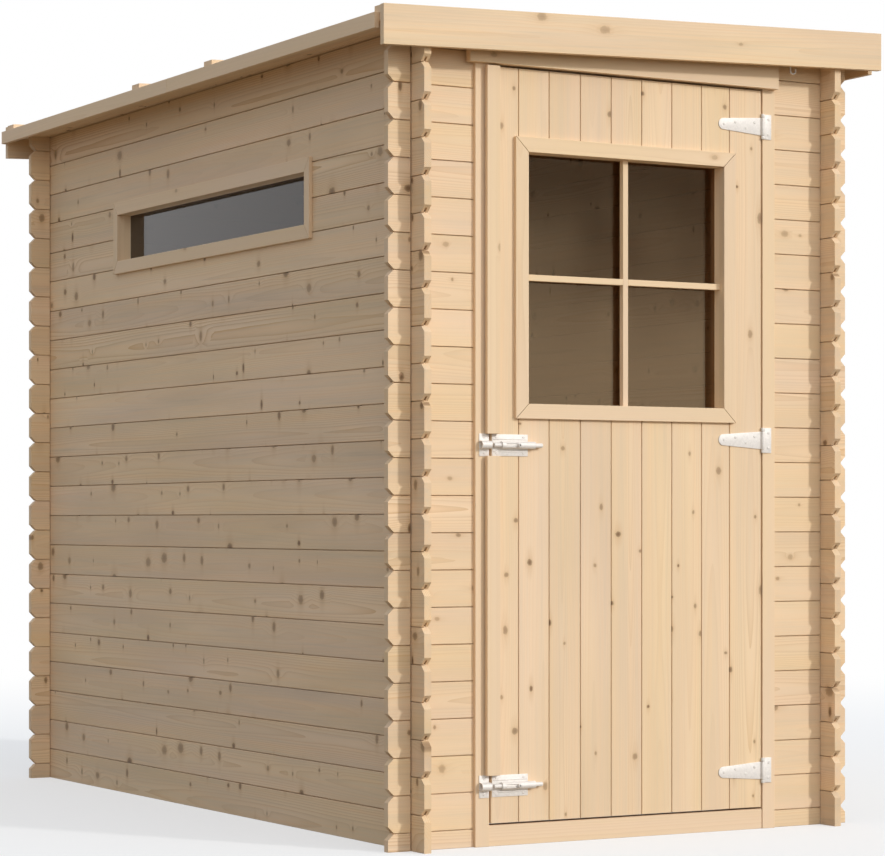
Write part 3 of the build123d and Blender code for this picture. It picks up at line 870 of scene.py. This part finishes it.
class SHED_OT_door(bpy.types.Operator):
    """Make the door leaf of upright boards, with ledges, a brace and the cover strip"""

    bl_idname = "shed.door"
    bl_label = "Door"

    def leaf(self, sizes):
        """Upright boards: one whole board at each edge, and the inner ones above and below the window."""
        inner_boards = sizes.leaf_boards - 2
        counts = {
            "door_left_board": 1,
            "door_right_board": 1,
            "door_upper_boards": inner_boards,
            "door_lower_boards": inner_boards,
        }
        for node, count in counts.items():
            low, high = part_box(node)
            depth = (low.y + high.y) / 2
            if node == "door_left_board":
                high.x -= sizes.joint_gap
            elif node == "door_right_board":
                low.x += sizes.joint_gap
            piece = Piece()
            joints = [index * sizes.leaf_pitch - sizes.leaf_start for index in range(1, count)]
            for index, (left, right) in enumerate(zip([low.x, *joints], [*joints, high.x])):
                ends = Vector((left, low.y, low.z)), Vector((right, high.y, high.z))
                board = matched_board(*ends, 2, 0, index < count - 1, index > 0)
                mark(board, f"door board {left:.3f}", 2, 0, Vector(((left + right) / 2, depth, 0)))
                piece.add(board)
            for edge in (low.x, high.x) if count > 1 else ():
                middle = Vector((edge, depth, 0))
                reach = Vector((sizes.joint_gap, sizes.tongue_width / 2, 0))
                ends = middle - reach + AXES[2] * low.z, middle + reach + AXES[2] * high.z
                tongue = block(*ends, sizes.steel_round)
                mark(tongue, f"door tongue {edge:.3f}", 2, 0, middle)
                piece.add(tongue)
            piece.stand_for(node)

    def brace(self, sizes):
        """The slanting board between the ledges."""
        low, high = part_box("door_brace")
        wide = sizes.brace_width
        outline = [(high.x - wide, low.z), (high.x, low.z), (low.x + wide, high.z), (low.x, high.z)]
        brace = prism(outline, 0, 2, low.y, high.y)
        rounded(brace, brace.edges[:], sizes.edge_round)
        run = Vector((low.x + wide - high.x, 0, high.z - low.z))
        turn = run.rotation_difference(AXES[2]).to_matrix()
        mark(brace, "door brace", 2, 0, (low + high) / 2, turn)
        piece = Piece()
        piece.add(brace)
        piece.stand_for("door_brace")

    def cover_strip(self, sizes):
        """The strip over the closing edge, stepped behind and broken at the bolts."""
        leaf_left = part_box("door_left_board")[0].x
        bolts = levels("bolt_plates")
        piece = Piece()
        for low, high in solids("door_cover_strips"):
            for foot, top in bolts:
                if 0 < low.z - top < sizes.strip_break:
                    low.z = top + sizes.pane_play
                if 0 < foot - high.z < sizes.strip_break:
                    high.z = foot - sizes.pane_play
            step = high.y - sizes.strip_relief
            outline = [
                (low.x, low.y), (high.x, low.y), (high.x, high.y), (leaf_left, high.y),
                (leaf_left, step), (low.x, step),
            ]
            strip = prism(outline, 0, 1, low.z, high.z)
            rounded(strip, strip.edges[:], sizes.edge_round)
            mark(strip, "door cover strip", 2, 0, Vector(((low.x + high.x) / 2, (low.y + high.y) / 2, 0)))
            piece.add(strip)
        piece.stand_for("door_cover_strips")

    def execute(self, context):
        sizes = context.scene.shed_sizes
        self.leaf(sizes)
        plain_boards("door_ledges")
        self.brace(sizes)
        self.cover_strip(sizes)
        return {"FINISHED"}


class SHED_OT_windows(bpy.types.Operator):
    """Frame both windows: mitred trim, lining, bars and panes"""

    bl_idname = "shed.windows"
    bl_label = "Windows"

    def mitred_trim(self, node):
        """Four trim boards that meet at mitres around an opening."""
        sizes = bpy.context.scene.shed_sizes
        piece = Piece()
        low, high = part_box(node)
        centre = (low + high) / 2
        boards = []
        for low, high in solids(node):
            along, across, _ = by_size(low, high)
            boards.append((along, across, low, high))
        widths = {along: (high - low)[across] for along, across, low, high in boards}
        for index, (along, across, low, high) in enumerate(boards):
            middle = (low + high) / 2
            inward = 1 if centre[across] > middle[across] else -1
            outer = AXES[across] * (low if inward > 0 else high)[across]
            board = block(low, high, sizes.edge_round)
            for end, side in ((low, -1), (high, 1)):
                slant = AXES[along] * side * widths[along] + AXES[across] * inward * widths[across]
                inside = slant.normalized() * sizes.mitre_gap
                cut(board, outer + AXES[along] * end[along] - inside, slant)
            mark(board, f"{node} {index}", along, across, middle)
            piece.add(board)
        piece.stand_for(node)

    def strip(self, piece, key, low, high):
        """A small strip of wood with rounded edges."""
        along, across, _ = by_size(low, high)
        board = block(low, high, bpy.context.scene.shed_sizes.edge_round)
        mark(board, key, along, across, (low + high) / 2)
        piece.add(board)

    def lining(self, window):
        """Boards around the opening: an outer layer and, flush with it, the stop in front of the pane."""
        sizes = bpy.context.scene.shed_sizes
        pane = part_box(f"{window}_glass")
        normal = by_size(*pane)[2]
        joint = pane[0][normal] - sizes.stop_depth
        piece = Piece()
        for index, (low, high) in enumerate(solids(f"{window}_frame")):
            along = max((axis for axis in range(3) if axis != normal), key=lambda axis: (high - low)[axis])
            for layer, (front, back) in enumerate(((low[normal], joint), (joint, high[normal]))):
                ends = low.copy(), high.copy()
                ends[0][normal], ends[1][normal] = front, back
                board = block(*ends, sizes.joint_chamfer / 2)
                mark(board, f"{window} lining {index} {layer}", along, normal, (ends[0] + ends[1]) / 2)
                piece.add(board)
        piece.stand_for(f"{window}_frame")

    def bars(self, body):
        """One upright and one level bar that divide the door's window in four."""
        sizes = bpy.context.scene.shed_sizes
        low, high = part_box("door_window_glass")
        play = Vector((sizes.pane_play, 0, sizes.pane_play))
        low, high = low - play, high + play
        middle = (low + high) / 2 + Vector((sizes.bar_aside, 0, sizes.bar_rise))
        half = sizes.bar_width / 2
        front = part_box("door_window_trim")[0].y + sizes.bar_setback
        back = front + sizes.bar_depth
        left, right = middle.x - half, middle.x + half
        foot, top = middle.z - half, middle.z + half
        piece = Piece()
        self.strip(piece, "upright bar", Vector((left, front, low.z)), Vector((right, back, high.z)))
        self.strip(piece, "level bar 0", Vector((low.x, front, foot)), Vector((left, back, top)))
        self.strip(piece, "level bar 1", Vector((right, front, foot)), Vector((high.x, back, top)))
        piece.place("door_window_bars", body, "trim_boards")

    def execute(self, context):
        for window in WINDOWS:
            pane = f"{window}_glass"
            body = frame["nodes"][pane]["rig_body"]
            self.mitred_trim(f"{window}_trim")
            self.lining(window)
            repaint(pane, pane)
            if body == "door":
                self.bars(body)
        return {"FINISHED"}


def screw(middle):
    """A round screw head with a cross recess, facing the front."""
    bm = new_mesh()
    radius = bpy.context.scene.shed_sizes.screw_radius
    arm, slit, sink, crown, flat = (radius * share for share in (0.5, 0.13, 0.14, 0.3, 0.72))
    corner = [(arm, -slit), (arm, slit), (slit, slit)]
    outline = []
    for quarter in range(4):
        turn = Matrix.Rotation(quarter * math.pi / 2, 2)
        outline += [turn @ Vector(p) for p in corner]
    floor = bm.faces.new([bm.verts.new((p.x, p.y, crown - sink)) for p in outline])
    walls = bmesh.ops.extrude_edge_only(bm, edges=floor.edges[:])
    bmesh.ops.translate(bm, vec=AXES[2] * sink, verts=picked(walls, bmesh.types.BMVert))
    place = Matrix.Translation(AXES[2] * crown)
    ring = bmesh.ops.create_circle(bm, segments=24, radius=flat, matrix=place)["verts"]
    loop = list({e for v in ring for e in v.link_edges})
    bmesh.ops.bridge_loops(bm, edges=picked(walls, bmesh.types.BMEdge) + loop)
    for wider, lower in ((1.27, 0.4), (1.1, 0.6)):
        made = bmesh.ops.extrude_edge_only(bm, edges=loop)
        verts = picked(made, bmesh.types.BMVert)
        bmesh.ops.scale(bm, vec=(wider, wider, 1.0), verts=verts)
        bmesh.ops.translate(bm, vec=AXES[2] * -crown * lower, verts=verts)
        loop = picked(made, bmesh.types.BMEdge)
    bmesh.ops.holes_fill(bm, edges=[e for e in bm.edges if e.is_boundary])
    bmesh.ops.recalc_face_normals(bm, faces=bm.faces)
    facing = (-AXES[1]).to_track_quat("Z", "X").to_matrix().to_4x4()
    bmesh.ops.transform(bm, matrix=Matrix.Translation(middle) @ facing, verts=bm.verts)
    return bm


class SHED_OT_hinges(bpy.types.Operator):
    """Make the three T-hinges: plates on the post, tapered straps on the door, screws"""

    bl_idname = "shed.hinges"
    bl_label = "Hinges"

    plate_gap: length("Knuckle gap", "Gap between two knuckles", 0.00075)
    strap_tip_share: number("Strap tip", "Height of the strap's tip over its root", 0.578)
    tip_round_share: number("Tip round", "Rounding of the strap's tip over half its height", 0.98)

    # Screws of a plate, by height, and of a strap, by length and height
    plate_screws = (0.2, 0.8)
    strap_screws = ((0.12, 0.0), (0.38, 0.3), (0.62, -0.3), (0.82, 0.42))
    tip_segments = 8

    def execute(self, context):
        sizes = context.scene.shed_sizes
        axis = Vector(joint_named("door_hinge")["pos_m"])
        post_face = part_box("hinge_plates")[1].y
        plates, straps, post_screws, strap_screws = Piece(), Piece(), Piece(), Piece()
        hinges = zip(by_level("hinge_plates"), by_level("hinge_straps"))
        for (low, high), (strap_low, strap_high) in hinges:
            radius = (high.y - low.y) / 2
            front = post_face - sizes.steel
            plate_left = axis.x + radius + self.plate_gap
            plates.add(block(Vector((plate_left, front, low.z)), high, sizes.steel_round))
            gap = self.plate_gap
            for foot, top in ((low.z, strap_low.z - gap), (strap_high.z + gap, high.z)):
                tab = Vector((axis.x, front, foot)), Vector((plate_left + sizes.steel, post_face, top))
                plates.add(block(*tab, sizes.steel_round))
                middle = Vector((axis.x, axis.y, (foot + top) / 2))
                plates.add(cylinder(middle, 2, radius, top - foot, sizes.steel_round))
            rise = (low.z + high.z) / 2
            for share in self.plate_screws:
                at = Vector(((plate_left + high.x) / 2 + sizes.steel, front, low.lerp(high, share).z))
                post_screws.add(screw(at))

            half_root = (strap_high.z - strap_low.z) / 2
            half_tip = half_root * self.strap_tip_share
            outline = [
                (axis.x, rise - half_root), (axis.x, rise + half_root),
                (strap_low.x, rise + half_tip), (strap_low.x, rise - half_tip),
            ]
            strap = prism(outline, 0, 2, front, post_face)
            tips = [
                e for e in strap.edges
                if all(abs(v.co.x - strap_low.x) < NEAR for v in e.verts)
                and abs(e.verts[0].co.z - e.verts[1].co.z) < NEAR
            ]
            rounded(strap, tips, half_tip * self.tip_round_share, self.tip_segments)
            rounded(strap, sharp_edges(strap), sizes.steel_round)
            straps.add(strap)
            middle = Vector((axis.x, axis.y, rise))
            straps.add(cylinder(middle, 2, radius, half_root * 2, sizes.steel_round))
            for share, side in self.strap_screws:
                at = Vector((strap_low.x + (axis.x - strap_low.x) * share, front, rise + half_root * side))
                strap_screws.add(screw(at))
        plates.stand_for("hinge_plates", smooth=True)
        straps.stand_for("hinge_straps", smooth=True)
        post_screws.place("hinge_plate_screws", "shed", "zinc", smooth=True)
        strap_screws.place("hinge_strap_screws", "door", "zinc", smooth=True)
        return {"FINISHED"}


class SHED_OT_bolts(bpy.types.Operator):
    """Make both barrel bolts: plates with barrels, rods with knobs, keepers"""

    bl_idname = "shed.bolts"
    bl_label = "Bolts"

    steel: length("Bolt steel", "Thickness of the bolt's plates", 0.002)
    wall: length("Barrel wall", "Wall of the barrel", 0.0032)
    knob_radius: length("Knob radius", "Radius of the knob's stem", 0.003)
    knob_head: length("Knob head", "Radius of the knob's head", 0.0045)
    slot_room: length("Slot room", "Room beside the knob in its slot", 0.001)
    rod_radius: length("Rod radius", "Radius of the sliding rod", 0.0055)
    rib_radius: length("Rib radius", "Radius of the ribs pressed into the plate", 0.0026)
    rib_reach: length("Rib reach", "Distance of the ribs from the rod", 0.0145)
    rod_round: length("Rod round", "Rounding of the rod's ends", 0.0015)
    knob_round: length("Knob round", "Rounding of the knob's stem", 0.0008)
    head_round_share: number("Head round", "Rounding of the knob's head over its radius", 0.4)

    # Screws by width and height of their plate
    plate_screws = ((0.12, 0.14), (0.12, 0.86), (0.88, 0.14), (0.88, 0.86))
    keeper_screws = ((0.5, 0.15), (0.5, 0.85))
    round_segments = 32

    def at_level(self, node, rise):
        """The solid of a node that lies at a level."""
        return next(box for box in solids(node) if box[0].z < rise < box[1].z)

    def fix(self, piece, low, high, shares):
        """Screws in a plate."""
        for share_x, share_z in shares:
            at = Vector((low.lerp(high, share_x).x, high.y - self.steel, low.lerp(high, share_z).z))
            piece.add(screw(at))

    def barrel(self, low, high, middle, knob_x, travel):
        """A tube with a slot in front for the knob."""
        barrel = tube(middle, 0, middle.y - low.y, high.x - low.x, self.round_segments)
        half = self.knob_radius + self.slot_room
        ends = knob_x - travel - half, knob_x + half
        planes = [(AXES[0] * x, AXES[0]) for x in ends]
        planes += [(AXES[2] * (middle.z + side * half), AXES[2]) for side in (-1, 1)]
        for point, normal in planes:
            bmesh.ops.bisect_plane(barrel, geom=whole(barrel), plane_co=point, plane_no=normal)
        slot = []
        for face in barrel.faces:
            at = face.calc_center_median()
            if ends[0] < at.x < ends[1] and abs(at.z - middle.z) < half and at.y < middle.y:
                slot.append(face)
        bmesh.ops.delete(barrel, geom=slot, context="FACES")
        bmesh.ops.recalc_face_normals(barrel, faces=barrel.faces)
        bmesh.ops.solidify(barrel, geom=barrel.faces[:], thickness=self.wall)
        bmesh.ops.recalc_face_normals(barrel, faces=barrel.faces)
        return barrel

    def keeper(self, piece, low, high, axis_y):
        """A plate with a strap bent over the place where the rod slides in."""
        front = high.y - self.steel
        piece.add(block(Vector((low.x, front, low.z)), high, bpy.context.scene.shed_sizes.steel_round))
        middle = Vector(((low.x + high.x) / 2, axis_y, (low.z + high.z) / 2))
        loop = tube(middle, 0, axis_y - low.y, high.x - low.x, self.round_segments)
        bmesh.ops.bisect_plane(loop, geom=whole(loop), plane_co=middle, plane_no=AXES[1], clear_outer=True)
        feet = [
            e for e in loop.edges
            if e.is_boundary and all(abs(v.co.y - axis_y) < NEAR for v in e.verts)
        ]
        legs = picked(bmesh.ops.extrude_edge_only(loop, edges=feet), bmesh.types.BMVert)
        bmesh.ops.translate(loop, vec=AXES[1] * (front - axis_y), verts=legs)
        bmesh.ops.recalc_face_normals(loop, faces=loop.faces)
        outward = sum((f.normal.dot(f.calc_center_median() - middle) for f in loop.faces))
        if outward < 0:
            bmesh.ops.reverse_faces(loop, faces=loop.faces)
        bmesh.ops.solidify(loop, geom=loop.faces[:], thickness=self.steel)
        bmesh.ops.recalc_face_normals(loop, faces=loop.faces)
        piece.add(loop)

    def execute(self, context):
        sizes = context.scene.shed_sizes
        travel = joint_named("upper_bolt_slide")["range_m"][1]
        plates, keepers, plate_screws, keeper_screws = Piece(), Piece(), Piece(), Piece()
        for node in ("bolt_rod_lower", "bolt_rod_upper"):
            low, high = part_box(node)
            axis_y = high.y - self.rod_radius
            rise = (low.z + high.z) / 2
            knob_x = min((v.co.x for v in frame["nodes"][node].data.vertices if v.co.y < low.y + NEAR))
            knob_x += self.knob_radius
            middle = Vector(((low.x + high.x) / 2, axis_y, rise))
            reach = axis_y - low.y
            stem = Vector((knob_x, axis_y - reach / 2, rise))
            head = self.knob_head
            cap = Vector((knob_x, low.y + head / 2, rise))
            long_way = high.x - low.x
            rod = Piece()
            rod.add(cylinder(middle, 0, self.rod_radius, long_way, self.rod_round, self.round_segments))
            rod.add(cylinder(stem, 1, self.knob_radius, reach, self.knob_round))
            rod.add(cylinder(cap, 1, head, head, head * self.head_round_share))
            rod.stand_for(node, smooth=True)

            low, high = self.at_level("bolt_plates", rise)
            front = high.y - self.steel
            plates.add(block(Vector((low.x, front, low.z)), high, sizes.steel_round))
            rib = self.rib_radius
            for side in (-1, 1):
                at = Vector(((low.x + high.x) / 2, front + rib / 2, rise + side * self.rib_reach))
                plates.add(cylinder(at, 0, rib, high.x - low.x - rib * 2, rib / 2))
            inset = AXES[0] * self.wall
            plates.add(self.barrel(low + inset, high - inset, middle, knob_x, travel))
            self.fix(plate_screws, low, high, self.plate_screws)

            low, high = self.at_level("bolt_keepers", rise)
            self.keeper(keepers, low, high, axis_y)
            self.fix(keeper_screws, low, high, self.keeper_screws)
        plates.stand_for("bolt_plates", smooth=True)
        keepers.stand_for("bolt_keepers", smooth=True)
        plate_screws.place("bolt_plate_screws", "door", "zinc", smooth=True)
        keeper_screws.place("bolt_keeper_screws", "shed", "zinc", smooth=True)
        return {"FINISHED"}


class SHED_OT_hook(bpy.types.Operator):
    """Plate the hook under the front of the roof"""

    bl_idname = "shed.hook"
    bl_label = "Hook"

    def execute(self, context):
        repaint("eave_hook", "zinc")
        return {"FINISHED"}


class SHED_OT_stage(bpy.types.Operator):
    """Set the floor, the light and the camera"""

    bl_idname = "shed.stage"
    bl_label = "Stage"

    photo_width = 885.0
    sensor = 36.0
    floor_reach = 60.0
    floor_fade = 7.0, 2.2
    floor_share = 0.5
    white = (1.0, 1.0, 1.0, 1.0)

    # The key light comes from the front right, the soft one is broad and warm, the fill is from all around
    key_tint = (1.0, 0.985, 0.96)
    soft_tint = (1.0, 0.94, 0.80)
    fill_tint = (0.92, 1.0, 1.12, 1.0)

    def seen(self, finish):
        """Whether a surface is looked at, also in metal and through glass."""
        path = finish.node("ShaderNodeLightPath", None, None, "Is Camera Ray")
        seen = path.math("MAXIMUM", path, path.also("Is Glossy Ray"))
        return seen.math("MAXIMUM", seen, path.also("Is Transmission Ray"))

    def floor(self, context):
        """A pale floor that fades to white away from the shed and keeps its shadow."""
        bm = bmesh.new()
        bmesh.ops.create_circle(bm, cap_ends=True, segments=96, radius=self.floor_reach)
        mesh = finished(bm, "studio_floor")
        finish = Finish(bpy.data.materials.new("studio_floor"))
        seen = self.seen(finish)
        place = finish.node("ShaderNodeTexCoord", None, None, "Object")
        away = finish.node("ShaderNodeVectorMath", {"operation": "LENGTH"}, {0: place}, "Value")
        shown = self.floor_share * finish.step(away, *self.floor_fade)
        colours = context.scene.shed_colours
        paint = finish.mix(seen, rgba(colours.floor_bounce), rgba(colours.floor))
        pale = finish.node("ShaderNodeBsdfDiffuse", None, {"Color": paint})
        white = finish.node("ShaderNodeEmission", None, {"Color": self.white, "Strength": 1.0})
        shader = finish.node("ShaderNodeMixShader", None, {0: seen * (1.0 - shown), 1: pale, 2: white})
        mesh.materials.append(finish.done(shader))
        floor = put("studio_floor", mesh)

    def surroundings(self, context):
        """Soft light from all around, and white where it is looked at."""
        world = bpy.data.worlds.new("studio")
        context.scene.world = world
        finish = Finish(world)
        strength = context.scene.shed_stage.fill_strength
        fill = finish.node("ShaderNodeBackground", None, {"Color": self.fill_tint, "Strength": strength})
        white = finish.node("ShaderNodeBackground", None, {"Color": self.white, "Strength": 1.0})
        shader = finish.node("ShaderNodeMixShader", None, {0: self.seen(finish), 1: fill, 2: white})
        finish.done(shader, "ShaderNodeOutputWorld")

    def lamp(self, context, name, tint):
        """A far lamp that shines on the shed from a direction."""
        stage = context.scene.shed_stage
        settings = ("turn", "rise", "spread", "strength")
        turn, rise, spread, strength = (getattr(stage, f"{name}_{setting}") for setting in settings)
        light = bpy.data.lights.new(name, "SUN")
        light.energy = strength
        light.angle = spread
        light.color = tint
        lamp = put(name, light)
        flat = math.cos(rise)
        towards = Vector((math.sin(turn) * flat, -math.cos(turn) * flat, math.sin(rise)))
        lamp.rotation_mode = "QUATERNION"
        lamp.rotation_quaternion = towards.to_track_quat("Z", "Y")
        lamp.location = towards * self.floor_reach / 2

    def camera(self, context):
        """The photograph's own point of view, level, with the horizon below the middle."""
        stage = context.scene.shed_stage
        lens = bpy.data.cameras.new("camera")
        lens.sensor_width = self.sensor
        lens.lens = stage.focal_pixels * self.sensor / self.photo_width
        lens.shift_y = stage.horizon_pixels / self.photo_width
        camera = put("camera", lens)
        camera.location = stage.camera_place
        camera.rotation_euler = (math.pi / 2, 0, -stage.camera_turn)
        context.scene.camera = camera

    def execute(self, context):
        context.scene.view_settings.view_transform = "Standard"
        self.floor(context)
        self.surroundings(context)
        self.lamp(context, "key", self.key_tint)
        self.lamp(context, "soft", self.soft_tint)
        self.camera(context)
        return {"FINISHED"}


OPERATORS = (
    SHED_OT_walls,
    SHED_OT_log_ends,
    SHED_OT_roof,
    SHED_OT_doorway,
    SHED_OT_door,
    SHED_OT_windows,
    SHED_OT_hinges,
    SHED_OT_bolts,
    SHED_OT_hook,
    SHED_OT_stage,
)


class SHED_PT_panel(bpy.types.Panel):
    """Lists the sizes, the colours and the steps of making the shed"""

    bl_idname = "SHED_PT_panel"
    bl_label = "Garden Shed"
    bl_space_type = "VIEW_3D"
    bl_region_type = "UI"
    bl_category = "Shed"

    def draw(self, context):
        for group in (context.scene.shed_sizes, context.scene.shed_colours, context.scene.shed_stage):
            box = self.layout.box()
            for name in group.__annotations__:
                box.prop(group, name)
        for operator in OPERATORS:
            self.layout.operator(operator.bl_idname)


CLASSES = (ShedSizes, ShedColours, ShedStage, *OPERATORS, SHED_PT_panel)


def register():
    for cls in CLASSES:
        bpy.utils.register_class(cls)
    bpy.types.Scene.shed_sizes = PointerProperty(type=ShedSizes)
    bpy.types.Scene.shed_colours = PointerProperty(type=ShedColours)
    bpy.types.Scene.shed_stage = PointerProperty(type=ShedStage)


def unregister():
    del bpy.types.Scene.shed_stage
    del bpy.types.Scene.shed_colours
    del bpy.types.Scene.shed_sizes
    for cls in reversed(CLASSES):
        bpy.utils.unregister_class(cls)


def main():
    register()
    bpy.ops.shed.walls()
    bpy.ops.shed.log_ends()
    bpy.ops.shed.roof()
    bpy.ops.shed.doorway()
    bpy.ops.shed.door()
    bpy.ops.shed.windows()
    bpy.ops.shed.hinges()
    bpy.ops.shed.bolts()
    bpy.ops.shed.hook()
    bpy.ops.shed.stage()


if __name__ == "__main__":
    main()
